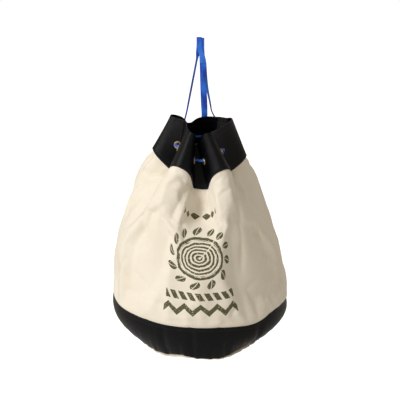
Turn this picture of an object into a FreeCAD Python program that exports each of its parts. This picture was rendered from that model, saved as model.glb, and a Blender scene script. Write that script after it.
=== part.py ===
"""Rope storage bag: a round canvas sack, gathered at the mouth and hung by its tape.

Millimetres. The origin is the hang point, the axis of the hook that the tape goes
over. +Z is up, -Y faces the viewer and +X is to the right. The sack is described by
one sheet of cloth: an angle round it (0 at the front, + to the right) and a height
measured up along the cloth from the rim of the base. Every canvas piece, eyelet and
run of tape takes its place from that sheet.
"""
import FreeCAD
import Part
import Sketcher
import math
import os

from FreeCAD import Vector

SIZES = {
    # canvas
    "canvas_thickness": 1.4,
    "band_thickness": 2.0,
    "layer_gap": 0.3,
    "seam_lap": 12.0,
    "side_seam_gap": 0.4,
    # heights along the cloth
    "base_band_height": 85.0,
    "body_height": 385.0,
    "top_band_height": 100.0,
    # the full part of the sack, at the seam above the base band
    "sack_width": 424.0,
    "sack_depth": 394.0,
    "sack_forward": -21.8,
    "base_seam_drop": 636.5,
    "body_bulge": 0.02,
    "shoulder_bulge": 0.15,
    "body_bow": 5.0,
    # how the base band turns in under the sack, and how the disc sags
    "tuck_front": 8.0,
    "tuck_side": 40.0,
    "disc_sag": 14.0,
    "disc_flat_share": 0.1,
    # pleats: shares of the cloth between a valley and a ridge
    "valley_share": 0.16,
    "ridge_share": 0.58,
    "wall_share": 1.08,
    "fade_share": 0.8,
    "fold_softness": 2.4,
    "gather_size": 100.0,
    "mouth_lean": 0.075,
    # eyelets and tape
    "eyelet_rise": 50.0,
    "eyelet_hole_radius": 5.0,
    "eyelet_wall": 0.7,
    "eyelet_flange_radius": 9.0,
    "eyelet_flange_height": 1.3,
    "eyelet_roll_height": 0.7,
    "eyelet_roll_reach": 1.2,
    "eyelet_dome": 0.8,
    "washer_radius": 7.8,
    "washer_thickness": 0.8,
    "seat_gap": 0.15,
    "tape_width": 12.0,
    "tape_thickness": 1.5,
    "hook_radius": 6.0,
    "bight_gap": 0.3,
    "front_bight_right": -2.0,
    "rear_bight_right": 4.0,
    "bight_leg": 16.0,
    "joint_gap": 0.3,
    "tilt_drop": 150.0,
    "tilt_radius": 14.0,
    "join_wall": 1.2,
    "join_length": 20.0,
    "tape_lift": 2.2,
    # how far the tape's corners stand from the eyelets that it goes through
    "lobe_reach": 14.0,
    "pleat_reach": 10.0,
    "valley_reach": 12.0,
    "front_reach": 6.0,
    "drop_reach": 18.0,
    "round_reach": 22.0,
}

doc = FreeCAD.newDocument("rope_bag")
sheet = doc.addObject("Spreadsheet::Sheet", "sizes")
for row, (alias, value) in enumerate(SIZES.items(), start=1):
    sheet.set(f"A{row}", alias)
    sheet.set(f"B{row}", str(value))
    sheet.setAlias(f"B{row}", alias)
doc.recompute()


def size(alias):
    """A driving dimension, read from its cell of the sheet."""
    return float(sheet.get(alias))


BAND = size("base_band_height")
BODY = size("body_height")
TOP = size("top_band_height")
SEAM_LOW = BAND
SEAM_HIGH = BAND + BODY
LIP = BAND + BODY + TOP
EYELET_LEVEL = SEAM_HIGH + size("eyelet_rise")


# ---------------------------------------------------------------- the gathered cloth
# The mouth is drawn into five pleats, with an eyelet on each of their ten walls. The
# folds go round from the middle of the back by the left, a ridge and a valley in turn.
# FOLD_TURNS are their places on the cloth in degrees. A ring gives each fold's middle
# (right, back and up) and half the width of its flat in shares of the gather size,
# then the direction that it faces.
FOLD_TURNS = (-180, -140, -114, -80, -38, 0, 38, 84, 114, 140, 180)
SEAM_RING = (
    (0.02, 0.46, -2.54, 0.36, 180),
    (-0.24, -0.10, -2.92, 0.10, -144),
    (-1.10, -0.17, -2.48, 0.24, -106),
    (-0.53, -0.52, -3.04, 0.10, -70),
    (-0.49, -1.36, -2.58, 0.28, -20),
    (0.02, -0.94, -3.22, 0.17, 0),
    (0.56, -1.36, -2.56, 0.28, 26),
    (0.44, -0.60, -3.04, 0.10, 70),
    (1.09, -0.17, -2.49, 0.24, 106),
    (0.28, -0.10, -2.92, 0.10, 144),
)
LIP_RING = (
    (0.20, 0.00, -1.76, 0.18, 180),
    (-0.24, -0.14, -1.90, 0.06, -144),
    (-0.62, -0.22, -1.71, 0.18, -172),
    (-0.31, -0.52, -1.78, 0.09, -80),
    (-0.18, -1.12, -1.88, 0.09, -12),
    (-0.10, -0.70, -2.26, 0.06, 0),
    (0.14, -1.12, -1.87, 0.09, 12),
    (0.30, -0.92, -1.86, 0.09, 60),
    (0.74, -0.30, -1.69, 0.09, 110),
    (0.52, -0.06, -1.73, 0.09, 160),
)


def clamp(share):
    return min(max(share, 0.0), 1.0)


def eased(share):
    share = clamp(share)
    return share * share * (3 - 2 * share)


def quarter_wave(share):
    return math.sin(math.pi / 2 * clamp(share))


def mixed(low, high, share):
    return low + (high - low) * share


def fold_point(fold, along):
    """A point on the flat of a fold, that share along it from its middle."""
    right, back, height, half, degrees = fold
    turn = math.radians(degrees)
    across = half * along
    place = Vector(right + across * math.cos(turn), back + across * math.sin(turn), height)
    return place * size("gather_size")


def crisp_ring(angle, ring, gathered):
    """A ring's point before its corners are softened."""
    turn = (math.degrees(angle) + 180) % 360 - 180
    after = next(index for index, place in enumerate(FOLD_TURNS) if place > turn)
    before = after - 1
    valley, ridge = (after, before) if before % 2 == 0 else (before, after)
    span = FOLD_TURNS[after] - FOLD_TURNS[before]
    share = abs(turn - FOLD_TURNS[valley]) / span
    hand = 1 if ridge > valley else -1
    ridge_share = size("ridge_share")
    foot = mixed(ridge_share, size("valley_share"), 1 - size("fade_share") * (1 - gathered))
    low_fold = ring[valley % len(ring)]
    high_fold = ring[ridge % len(ring)]
    open_half = size("sack_width") / 2 * math.sin(math.radians(span) * foot)
    half_floor = mixed(open_half / (low_fold[3] * size("gather_size")), 1, gathered)
    floor = fold_point(low_fold, hand * half_floor * quarter_wave(share / foot))
    crown = fold_point(high_fold, -hand * quarter_wave((1 - share) / (1 - ridge_share)))
    climb = eased((share - foot / 2) / (size("wall_share") - foot / 2))
    return floor + (crown - floor) * climb


def soft_ring(angle, ring, gathered):
    """A ring's point, with the corners of the pleats rounded along the cloth."""
    step = math.radians(size("fold_softness"))
    weights = ((-2, 1), (-1, 4), (0, 6), (1, 4), (2, 1))
    total = Vector()
    for place, weight in weights:
        total += crisp_ring(angle + place * step, ring, gathered) * (weight / 16)
    return total


def cloth_point(angle, height):
    """The middle of the cloth at an angle round the sack and a height along it."""
    forward = size("sack_forward")
    drop = size("base_seam_drop")
    across = size("sack_width") / 2 * math.sin(angle)
    back = -size("sack_depth") / 2 * math.cos(angle)
    if height < SEAM_LOW:
        down = (SEAM_LOW - height) / BAND
        tuck = size("tuck_front") + size("tuck_side") * math.sin(angle) ** 2
        share = 1 - tuck * down**2.2 / math.hypot(across, back)
        short = 0.6 * (tuck / BAND) ** 2 * down**1.2
        return Vector(across * share, back * share - forward, -drop - BAND * down * (1 - short))
    up = clamp((height - SEAM_LOW) / BODY)
    over = clamp((height - SEAM_HIGH) / TOP)
    full = Vector(across, back - forward, -drop)
    seam = soft_ring(angle, SEAM_RING, up)
    lip = soft_ring(angle, LIP_RING, 1.0)
    bulge = size("body_bulge")
    shoulder = size("shoulder_bulge")
    inward = bulge * up + (1 - bulge) * up * up
    climb = (1 + shoulder) * up - shoulder * up * up
    point = Vector(
        mixed(full.x, seam.x, inward), mixed(full.y, seam.y, inward), mixed(full.z, seam.z, climb)
    )
    point += (lip - seam) * over
    point.x -= size("body_bow") * 4 * up * (1 - up)
    point.z -= size("mouth_lean") * point.x * eased(up)
    return point


def cloth_normal(angle, height):
    """The outward direction of the cloth."""
    step = 0.01
    reach = 2.0
    low = max(height - reach, 0.0)
    high = min(height + reach, LIP)
    round_it = cloth_point(angle + step, height) - cloth_point(angle - step, height)
    up_it = cloth_point(angle, high) - cloth_point(angle, low)
    return round_it.cross(up_it).normalize()


# ---------------------------------------------------------------- cloth as flat facets
# Columns of the cloth from midway between two eyelets to the next such place. Those
# within PATCH_TURN of an eyelet lie in one plane where it sits, for PATCH up and down.
EYELET_CELL = (0.0, 3.3, 6.6, 9.9, 13.0, 23.0, 26.1, 29.4, 32.7)
COLUMNS = [36.0 * cell + turn - 180.0 for cell in range(10) for turn in EYELET_CELL]
EYELET_TURNS = [36.0 * cell + 18.0 for cell in range(-5, 5)]
PATCH = size("eyelet_flange_radius") + 1.0
PATCH_TURN = 8.2


def wrapped(turn):
    return (turn + 180.0) % 360.0 - 180.0


def cloth_frame(turn, height):
    """The cloth's point and outward direction, flat round each eyelet."""
    angle = math.radians(turn)
    near = min(EYELET_TURNS, key=lambda eyelet: abs(wrapped(turn - eyelet)))
    if abs(wrapped(turn - near)) < PATCH_TURN and abs(height - EYELET_LEVEL) < PATCH + 0.1:
        middle = cloth_point(math.radians(near), EYELET_LEVEL)
        outward = cloth_normal(math.radians(near), EYELET_LEVEL)
        point = cloth_point(angle, height)
        return point - outward * (point - middle).dot(outward), outward
    return cloth_point(angle, height), cloth_normal(angle, height)


def faceted_solid(points, triangles):
    shell = Part.Shape()
    shell.makeShapeFromMesh((points, triangles), 0.001)
    solid = Part.Solid(Part.Shell(shell.Faces))
    if solid.Volume < 0:
        solid.reverse()
    return solid


def cloth_piece(turns, heights, inside, outside, ring=True):
    """A closed solid of flat facets between two offsets from the cloth."""
    grid = [[cloth_frame(turn, height) for height in heights] for turn in turns]
    tall = len(heights)
    points = []
    for offset in (outside, inside):
        points += [point + outward * offset for column in grid for point, outward in column]
    layer = len(turns) * tall
    cells = len(turns) if ring else len(turns) - 1
    triangles = []
    for column in range(cells):
        after = (column + 1) % len(turns)
        for row in range(tall - 1):
            a, b = column * tall + row, after * tall + row
            rising = (grid[column][row][0] - grid[after][row + 1][0]).Length
            falling = (grid[column][row + 1][0] - grid[after][row][0]).Length
            if rising < falling:
                halves = [(a, b, b + 1), (a, b + 1, a + 1)]
            else:
                halves = [(a, b, a + 1), (b, b + 1, a + 1)]
            triangles += halves
            triangles += [(layer + p, layer + r, layer + q) for p, q, r in halves]
        for row in (0, tall - 1):
            a, b = column * tall + row, after * tall + row
            rim = [(a, layer + b, b), (a, layer + a, layer + b)]
            triangles += rim if row == 0 else [(p, r, q) for p, q, r in rim]
    if not ring:
        for column in (0, len(turns) - 1):
            for row in range(tall - 1):
                a = column * tall + row
                side = [(a, a + 1, layer + a + 1), (a, layer + a + 1, layer + a)]
                triangles += side if column == 0 else [(p, r, q) for p, q, r in side]
    return faceted_solid(points, triangles)


pieces = []


def keep_shape(label, shape):
    """A sub-part whose form is worked out above, as an object of the document."""
    feature = doc.addObject("Part::Feature", label)
    feature.Shape = shape
    feature.Label = label
    pieces.append(feature)
    return feature


# ---------------------------------------------------------------- canvas pieces
CANVAS = size("canvas_thickness")
BAND_THICK = size("band_thickness")
LAP = size("seam_lap") / 2
SKIN = CANVAS / 2 + size("layer_gap")
LOW_SEAM_ROWS = [SEAM_LOW - LAP, SEAM_LOW, SEAM_LOW + LAP]
HIGH_SEAM_ROWS = [SEAM_HIGH - LAP, SEAM_HIGH, SEAM_HIGH + LAP]
BASE_ROWS = [0.0, 0.3 * BAND, 0.62 * BAND, *LOW_SEAM_ROWS]
BODY_ROWS = [*LOW_SEAM_ROWS, *(SEAM_LOW + BODY * share for share in (0.13, 0.27, 0.42, 0.57, 0.72, 0.87)),
             *HIGH_SEAM_ROWS]
TOP_ROWS = [*HIGH_SEAM_ROWS, EYELET_LEVEL - PATCH, EYELET_LEVEL + PATCH, LIP]

# Two equal panels, sewn to each other on the left and on the right.
SEAM_TURN = math.degrees(size("side_seam_gap") / size("sack_width"))
for label, start in (("body_panel_front", -108.0), ("body_panel_back", 72.0)):
    inner_turns = sorted((turn - start) % 360 for turn in COLUMNS)
    inner_turns = [start + turn for turn in inner_turns if 0.01 < turn < 179.99]
    turns = [start + SEAM_TURN, *inner_turns, start + 180.0 - SEAM_TURN]
    panel = cloth_piece(turns, BODY_ROWS, -CANVAS / 2, CANVAS / 2, ring=False)
    keep_shape(label, panel)

keep_shape("base_band", cloth_piece(COLUMNS, BASE_ROWS, SKIN, SKIN + CANVAS))


def disc_solid():
    """The base disc: its rim follows the band, and it sags to a flat middle."""
    turns = COLUMNS[::2]
    flat = size("disc_flat_share")
    shares = (1.0, 0.82, 0.6, 0.36, flat)
    lowest = min(cloth_point(math.radians(turn), 0.0).z for turn in turns)
    middle = Vector(0, -size("sack_forward"), lowest - size("disc_sag"))
    points = []
    for offset in (0.0, CANVAS):
        for turn in turns:
            point, outward = cloth_frame(turn, 0.0)
            rim = point + outward * (SKIN + CANVAS)
            for share in shares:
                place = middle + (rim - middle) * share
                rise = max((share - flat) / (1 - flat), 0.0) ** 1.5
                place.z = mixed(middle.z, rim.z, rise) - size("layer_gap") - offset
                points.append(place)
        points.append(middle - Vector(0, 0, size("layer_gap") + offset))
    rings = len(shares)
    layer = len(turns) * rings + 1
    triangles = []
    for column in range(len(turns)):
        after = (column + 1) % len(turns)
        halves = [(column * rings + rings - 1, after * rings + rings - 1, layer - 1)]
        for row in range(rings - 1):
            a, b = column * rings + row, after * rings + row
            halves += [(a, b, b + 1), (a, b + 1, a + 1)]
        triangles += halves
        triangles += [(layer + p, layer + r, layer + q) for p, q, r in halves]
        a, b = column * rings, after * rings
        triangles += [(a, layer + b, b), (a, layer + a, layer + b)]
    return faceted_solid(points, triangles)


keep_shape("base_disc", disc_solid())

# ---------------------------------------------------------------- eyelets
def eyelet_frame(turn):
    """The middle of an eyelet on the outer face of the band, and its outward axis."""
    point, outward = cloth_frame(turn, EYELET_LEVEL)
    return point + outward * (SKIN + BAND_THICK), outward


def profile(body, corners):
    """A closed sketch on the body's XZ plane. Each corner is held at a distance right
    of and above the origin, and each distance is an expression on the sheet."""
    sketch = body.newObject("Sketcher::SketchObject", "profile")
    plane = next(item for item in body.Origin.OriginFeatures if item.Role == "XZ_Plane")
    sketch.AttachmentSupport = [(plane, "")]
    sketch.MapMode = "FlatFace"
    rough = [Vector(5 + index, index, 0) for index in range(len(corners))]
    for index, start in enumerate(rough):
        sketch.addGeometry(Part.LineSegment(start, rough[(index + 1) % len(rough)]))
    for index in range(len(corners)):
        sketch.addConstraint(Sketcher.Constraint("Coincident", index, 2, (index + 1) % len(corners), 1))
    for index, (right, above) in enumerate(corners):
        for kind, expression in (("DistanceX", right), ("DistanceY", above)):
            number = sketch.addConstraint(Sketcher.Constraint(kind, -1, 1, index, 1, 1.0))
            sketch.setExpression(f"Constraints[{number}]", expression)
    return sketch


def turned_piece(label, corners):
    """A body revolved about its own Z axis from a profile of sheet expressions."""
    body = doc.addObject("PartDesign::Body", label)
    body.Label = label
    sketch = profile(body, corners)
    turned = body.newObject("PartDesign::Revolution", "turned")
    turned.Profile = sketch
    axis = next(item for item in body.Origin.OriginFeatures if item.Role == "Z_Axis")
    turned.ReferenceAxis = (axis, [""])
    turned.Angle = 360
    body.Tip = turned
    pieces.append(body)
    return body


# Heights below are measured up from the inner end of the barrel.
ROLL = "sizes.eyelet_roll_height"
WASHER_LOW = f"{ROLL} + 0.02"
WASHER_HIGH = f"{WASHER_LOW} + sizes.washer_thickness"
CLOTH_HIGH = f"{WASHER_HIGH} + sizes.seat_gap + sizes.band_thickness"
FLANGE_LOW = f"{CLOTH_HIGH} + sizes.seat_gap"
FLANGE_HIGH = f"{FLANGE_LOW} + sizes.eyelet_flange_height"
HOLE = "sizes.eyelet_hole_radius"
BARREL = f"{HOLE} + sizes.eyelet_wall"
EYELET_CORNERS = [
    (HOLE, "0.01"),
    (f"{BARREL} + sizes.eyelet_roll_reach", "0.01"),
    (f"{BARREL} + sizes.eyelet_roll_reach", ROLL),
    (BARREL, ROLL),
    (BARREL, FLANGE_LOW),
    ("sizes.eyelet_flange_radius", FLANGE_LOW),
    ("sizes.eyelet_flange_radius", f"{FLANGE_HIGH} - sizes.eyelet_dome"),
    ("sizes.eyelet_flange_radius - sizes.eyelet_dome", FLANGE_HIGH),
    (f"{HOLE} + sizes.eyelet_dome", FLANGE_HIGH),
    (HOLE, f"{FLANGE_HIGH} - sizes.eyelet_dome"),
]
WASHER_CORNERS = [
    (f"{BARREL} + 0.05", WASHER_LOW),
    ("sizes.washer_radius", WASHER_LOW),
    ("sizes.washer_radius", WASHER_HIGH),
    (f"{BARREL} + 0.05", WASHER_HIGH),
]
FLANGE_SEAT = (
    size("eyelet_roll_height") + 0.02 + size("washer_thickness") + size("seat_gap") + BAND_THICK
)

frames = [eyelet_frame(turn) for turn in EYELET_TURNS]
for number, (centre, outward) in enumerate(frames, start=1):
    turn = FreeCAD.Rotation(Vector(0, 0, 1), outward)
    place = FreeCAD.Placement(centre - outward * FLANGE_SEAT, turn)
    eyelet = turned_piece(f"eyelet_{number:02d}", EYELET_CORNERS)
    eyelet.Placement = place
    washer = turned_piece(f"eyelet_washer_{number:02d}", WASHER_CORNERS)
    washer.Placement = place

# ---------------------------------------------------------------- top band with holes
top_band = cloth_piece(COLUMNS, TOP_ROWS, SKIN, SKIN + BAND_THICK)
hole_radius = size("eyelet_hole_radius") + size("eyelet_wall") + size("seat_gap")
punches = []
for centre, outward in frames:
    start = centre - outward * (BAND_THICK + 3)
    punches.append(Part.makeCylinder(hole_radius, BAND_THICK + 6, start, outward))
keep_shape("top_band", top_band.cut(Part.makeCompound(punches)))

# ---------------------------------------------------------------- the tape
TAPE = size("tape_width")
THIN = size("tape_thickness")
HINGE = Vector(0, 0, -size("tilt_drop"))


def bound(kind, name, **sizes_of):
    """A Part primitive with its sizes bound to the sheet."""
    item = doc.addObject(kind, name)
    for key, expression in sizes_of.items():
        item.setExpression(key, expression)
    return item


def tape_bight(label, radius, right):
    """A bight of tape over the hook: half a turn about X and two short legs."""
    outer = bound("Part::Cylinder", "turn_outside", Radius=f"{radius} + sizes.tape_thickness",
                  Height="sizes.tape_width")
    inner = bound("Part::Cylinder", "turn_inside", Radius=radius, Height="sizes.tape_width")
    outer.Angle = 180
    half_turn = doc.addObject("Part::Cut", "half_turn")
    half_turn.Base = outer
    half_turn.Tool = inner
    legs = []
    for shift in (f"-({radius}) - sizes.tape_thickness", radius):
        leg = bound("Part::Box", "leg", Length="sizes.tape_thickness", Width="sizes.bight_leg",
                    Height="sizes.tape_width")
        leg.setExpression("Placement.Base.x", shift)
        leg.setExpression("Placement.Base.y", "-sizes.bight_leg")
        legs.append(leg)
    bight = doc.addObject("Part::MultiFuse", label)
    bight.Shapes = [half_turn, *legs]
    bight.Label = label
    bight.Placement.Rotation = FreeCAD.Rotation(Vector(1, 1, 1), 120)
    bight.setExpression("Placement.Base.x", f"{right} - sizes.tape_width / 2")
    pieces.append(bight)


# The bight of the front run lies over the bight of the rear run, a little to its left.
REAR_RADIUS = "sizes.hook_radius"
FRONT_RADIUS = f"{REAR_RADIUS} + sizes.tape_thickness + sizes.bight_gap"
tape_bight("tape_bight_front", FRONT_RADIUS, "sizes.front_bight_right")
tape_bight("tape_bight_rear", REAR_RADIUS, "sizes.rear_bight_right")

REAR_LEG = size("hook_radius") + THIN / 2
FRONT_LEG = REAR_LEG + THIN + size("bight_gap")
STRAND_TOP = -size("bight_leg") - size("joint_gap")
LEFT_TOP = Vector(size("front_bight_right"), FRONT_LEG, STRAND_TOP)
RIGHT_TOP = Vector(size("front_bight_right"), -FRONT_LEG, STRAND_TOP)
CENTRE_REAR_TOP = Vector(size("rear_bight_right"), REAR_LEG, STRAND_TOP)
CENTRE_FRONT_TOP = Vector(size("rear_bight_right"), -REAR_LEG, STRAND_TOP)

# Each strand hangs straight from a leg of a bight to the knuckle, its flat face to the
# front. Listed: its top and foot, and the shares of its length over which it turns
# edge on, if it does.
STRANDS = {
    "strand_left": (LEFT_TOP, Vector(-28, 0, HINGE.z), (0, 0.2)),
    "strand_right": (RIGHT_TOP, Vector(25, -4, HINGE.z), (0.25, 0.8)),
    "strand_centre_rear": (CENTRE_REAR_TOP, Vector(8, 8, HINGE.z), None),
    "strand_centre_front": (CENTRE_FRONT_TOP, Vector(11.5, 3, HINGE.z), None),
}


def tape_section(centre, turn):
    """A flat rectangle across a hanging tape, turned about Z."""
    half_thin = THIN / 2
    half_wide = TAPE / 2
    corners = [(-half_wide, -half_thin), (half_wide, -half_thin), (half_wide, half_thin)]
    corners.append((-half_wide, half_thin))
    spin = FreeCAD.Rotation(Vector(0, 0, 1), turn)
    points = [centre + spin.multVec(Vector(across, along, 0)) for across, along in corners]
    return Part.makePolygon(points + points[:1])


def strand_turn(share, edge_over):
    if edge_over is None:
        return 0
    start, end = edge_over
    return 90 * eased((share - start) / (end - start))


# The strands end on a cylinder about the axis that the sack tilts on, and the runs of
# tape below start inside it, so the sack swings there without touching them.
WIDTH = size("sack_width")
KNUCKLE_START = HINGE - Vector(WIDTH / 2, 0, 0)
SIDEWAYS = Vector(1, 0, 0)
knuckle_space = Part.makeCylinder(size("tilt_radius") + size("joint_gap"), WIDTH, KNUCKLE_START, SIDEWAYS)
for label, (top, foot, edge_over) in STRANDS.items():
    sections = []
    for station in range(13):
        share = station / 12
        sections.append(tape_section(top + (foot - top) * share, strand_turn(share, edge_over)))
    strand = Part.makeLoft(sections, True, True)
    keep_shape(label, strand.cut(knuckle_space))


def rounded_route(points):
    """Straight runs joined by tangent arcs, as large as the runs allow."""
    edges = []
    radii = []
    start = points[0]
    for before, corner, after in zip(points, points[1:], points[2:]):
        back = (before - corner).normalize()
        ahead = (after - corner).normalize()
        turn = math.pi - back.getAngle(ahead)
        cut_back = 0.45 * min((before - corner).Length, (after - corner).Length)
        radius = cut_back / math.tan(turn / 2)
        radii.append(radius)
        enter = corner + back * cut_back
        leave = corner + ahead * cut_back
        bisector = (back + ahead).normalize()
        middle = corner + bisector * (radius / math.cos(turn / 2) - radius)
        edges.append(Part.LineSegment(start, enter).toShape())
        edges.append(Part.Arc(enter, middle, leave).toShape())
        start = leave
    edges.append(Part.LineSegment(start, points[-1]).toShape())
    return Part.Wire(edges), radii


# Where it is threaded the tape is bunched to a round of the same section.
BUNCH = math.sqrt(TAPE * THIN / math.pi)


def swept_round(route, start, heading, radius):
    ring = Part.Wire(Part.makeCircle(radius, start, heading))
    return route.makePipeShell([ring], True, False)


def tape_run(label, points):
    """A run of threaded tape, and a check of its volume against its length."""
    route, radii = rounded_route(points)
    tube = swept_round(route, points[0], points[1] - points[0], BUNCH)
    share = tube.Volume / (math.pi * BUNCH**2 * route.Length)
    print(label, "length", round(route.Length, 1), "volume share", round(share, 4))
    print(label, "radii", [round(radius, 1) for radius in radii])
    if abs(share - 1) > 0.01:
        raise ValueError(f"{label} is not one clean tube")
    return route, tube


def eyelet_axis(turn):
    """An eyelet's centre in the middle of the cloth, and its outward axis."""
    centre, outward = frames[EYELET_TURNS.index(turn)]
    return centre - outward * (BAND_THICK / 2), outward


def loaded_axis(turn):
    """The tape's line through an eyelet that it pulls up on: close under its edge."""
    centre, outward = eyelet_axis(turn)
    return centre + Vector(0, 0, size("tape_lift")), outward


def on_axis(turn, outside):
    centre, outward = loaded_axis(turn)
    return centre + outward * outside


def on_strand(label, height):
    """The point of a strand's own line at a height, also below its foot."""
    top, foot, _ = STRANDS[label]
    return top + (foot - top) * ((height - top.z) / (foot.z - top.z))


LOBE = size("lobe_reach")
PLEAT = size("pleat_reach")
START = HINGE.z + 20
LEAVE = HINGE.z - 18


def side_corners(hand):
    """Corners of the tape from the back of a side lobe round to the front valley. It
    goes through each eyelet along its axis."""
    valley = size("valley_reach")
    side_lobe = [on_axis(126.0 * hand, -LOBE), on_axis(90.0 * hand, -LOBE)]
    side_valley = [on_axis(90.0 * hand, valley), on_axis(54.0 * hand, valley)]
    front_pleat = [on_axis(54.0 * hand, -PLEAT), on_axis(18.0 * hand, -PLEAT)]
    return side_lobe + side_valley + front_pleat


def front_half(hand, strand, leave):
    tail = [on_strand(strand, START), leave, on_axis(126.0 * hand, size("drop_reach"))]
    return tail + side_corners(hand)


def rear_half(hand, strand, leave):
    """From a centre strand down the back of the rear lobe and round its corner."""
    turn_in = on_axis(162.0 * hand, size("round_reach"))
    round_corner = turn_in + Vector(2.5 * hand, 21, 8)
    down_back = round_corner + Vector(-22 * hand, -2, 12)
    return [on_strand(strand, START), leave, down_back, round_corner, turn_in]


left_half = front_half(-1, "strand_left", on_strand("strand_left", LEAVE))
right_half = front_half(1, "strand_right", Vector(29, 8, LEAVE))
across_valley = [on_axis(-18.0, size("front_reach")), on_axis(18.0, size("front_reach"))]
front_route, front_tube = tape_run("tape_front_run", [*left_half, *across_valley, *right_half[::-1]])

rear_points = [
    *rear_half(-1, "strand_centre_rear", Vector(6, 11.5, LEAVE)),
    on_axis(-162.0, -LOBE),
    on_axis(162.0, -LOBE),
    *rear_half(1, "strand_centre_front", Vector(15, 10.5, LEAVE))[::-1],
]
rear_route, rear_tube = tape_run("tape_rear_run", rear_points)

below_knuckle = Part.makeCylinder(size("tilt_radius"), WIDTH, KNUCKLE_START, SIDEWAYS)
low_corner = HINGE - Vector(WIDTH / 2, WIDTH / 2, WIDTH)
below_knuckle = below_knuckle.fuse(Part.makeBox(WIDTH, WIDTH, WIDTH, low_corner))
keep_shape("tape_front_run", front_tube.common(below_knuckle))
keep_shape("tape_rear_run", rear_tube.common(below_knuckle))


def tape_join(label, route, place):
    """The sewn overlap that closes a tape: a sleeve round one edge of its route."""
    overlap = route.Edges[place - 1 : place + 2]
    start = overlap[0].valueAt(overlap[0].FirstParameter)
    heading = overlap[0].tangentAt(overlap[0].FirstParameter)
    middle = overlap[1].valueAt((overlap[1].FirstParameter + overlap[1].LastParameter) / 2)
    wire = Part.Wire(overlap)
    sleeve = swept_round(wire, start, heading, BUNCH + size("join_wall"))
    sleeve = sleeve.cut(swept_round(wire, start, heading, BUNCH + 0.05))
    keep_shape(label, sleeve.common(Part.makeSphere(size("join_length") / 2, middle)))


# One is inside the rear lobe, the other inside the right lobe.
tape_join("tape_join", rear_route, len(rear_route.Edges) // 2)
tape_join("tape_front_join", front_route, len(front_route.Edges) - 7)

# ---------------------------------------------------------------- check and write
doc.recompute()
for item in doc.Objects:
    if "Invalid" in item.State or "Error" in item.State:
        raise ValueError(f"{item.Name} failed: {item.State}")
for piece in pieces:
    if piece.Shape.isNull() or not piece.Shape.isValid():
        raise ValueError(f"{piece.Label} has no valid shape")
os.makedirs("parts", exist_ok=True)
for piece in pieces:
    piece.Shape.exportStep(f"parts/{piece.Label}.step")
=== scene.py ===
import math

import bmesh
import bpy
import numpy as np
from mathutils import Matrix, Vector


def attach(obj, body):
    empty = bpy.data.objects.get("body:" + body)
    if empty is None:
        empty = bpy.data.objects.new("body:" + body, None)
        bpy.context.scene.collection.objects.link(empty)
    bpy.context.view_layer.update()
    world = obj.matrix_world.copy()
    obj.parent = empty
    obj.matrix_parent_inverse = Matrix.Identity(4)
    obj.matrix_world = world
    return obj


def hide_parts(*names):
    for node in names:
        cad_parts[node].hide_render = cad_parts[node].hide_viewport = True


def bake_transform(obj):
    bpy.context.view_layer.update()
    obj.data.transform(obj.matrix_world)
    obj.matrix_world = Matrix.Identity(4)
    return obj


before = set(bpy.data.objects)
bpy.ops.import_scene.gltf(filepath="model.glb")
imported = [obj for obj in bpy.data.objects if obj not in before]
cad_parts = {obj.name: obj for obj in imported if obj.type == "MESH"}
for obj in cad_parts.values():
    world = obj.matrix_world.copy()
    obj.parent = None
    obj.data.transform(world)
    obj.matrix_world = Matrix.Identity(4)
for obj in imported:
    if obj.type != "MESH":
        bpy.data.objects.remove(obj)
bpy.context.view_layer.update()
scene = bpy.context.scene

# ---------------------------------------------------------------- the camera
# The bag is seen from a little above its middle, through a lens long enough to keep
# its round base nearly flat. The lens is aimed at the middle of its height.
LENS_HEIGHT_ANGLE = math.radians(18.0)
LENS_DISTANCE = 2.4
LENS_LENGTH = 90.0
FILM_WIDTH = 36.0
AIM = Vector((0.0, 0.0, -0.3815))
lens = bpy.data.cameras.new("lens")
lens.lens = LENS_LENGTH
lens.sensor_width = FILM_WIDTH
camera = bpy.data.objects.new("camera", lens)
scene.collection.objects.link(camera)
away = Vector((0.0, -math.cos(LENS_HEIGHT_ANGLE), math.sin(LENS_HEIGHT_ANGLE)))
camera.location = AIM + away * LENS_DISTANCE
camera.rotation_euler = (-away).to_track_quat("-Z", "Y").to_euler()
scene.camera = camera

# ---------------------------------------------------------------- the cream sack
# The body is a wide tube of heavy unbleached cotton canvas, two panels closed by two
# felled seams. It is full and round on its base and drawn in to five pleats above.
BAND = 0.085
BODY = 0.385
TOP = 0.100
SEAM_LOW = BAND
SEAM_HIGH = BAND + BODY
LIP = SEAM_HIGH + TOP
SACK_HALF_WIDTH = 0.212
SACK_HALF_DEPTH = 0.197
SACK_BACK = 0.0218
BASE_DROP = 0.6365
CLOTH_RADIUS = 0.2032
CANVAS = 0.0013
GATHER = 0.1
MOUTH_LEAN = 0.075
BODY_BOW = 0.005
BODY_BULGE = 0.02
SHOULDER_BULGE = 0.15
TUCK_FRONT = 0.008
TUCK_SIDE = 0.040
TUCK_BEND = 2.2
SEAM_RISE_REACH = 0.4
FOLD_SOFTNESS = 2.4
VALLEY_SHARE = 0.16
RIDGE_SHARE = 0.58
WALL_SHARE = 1.08

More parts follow.
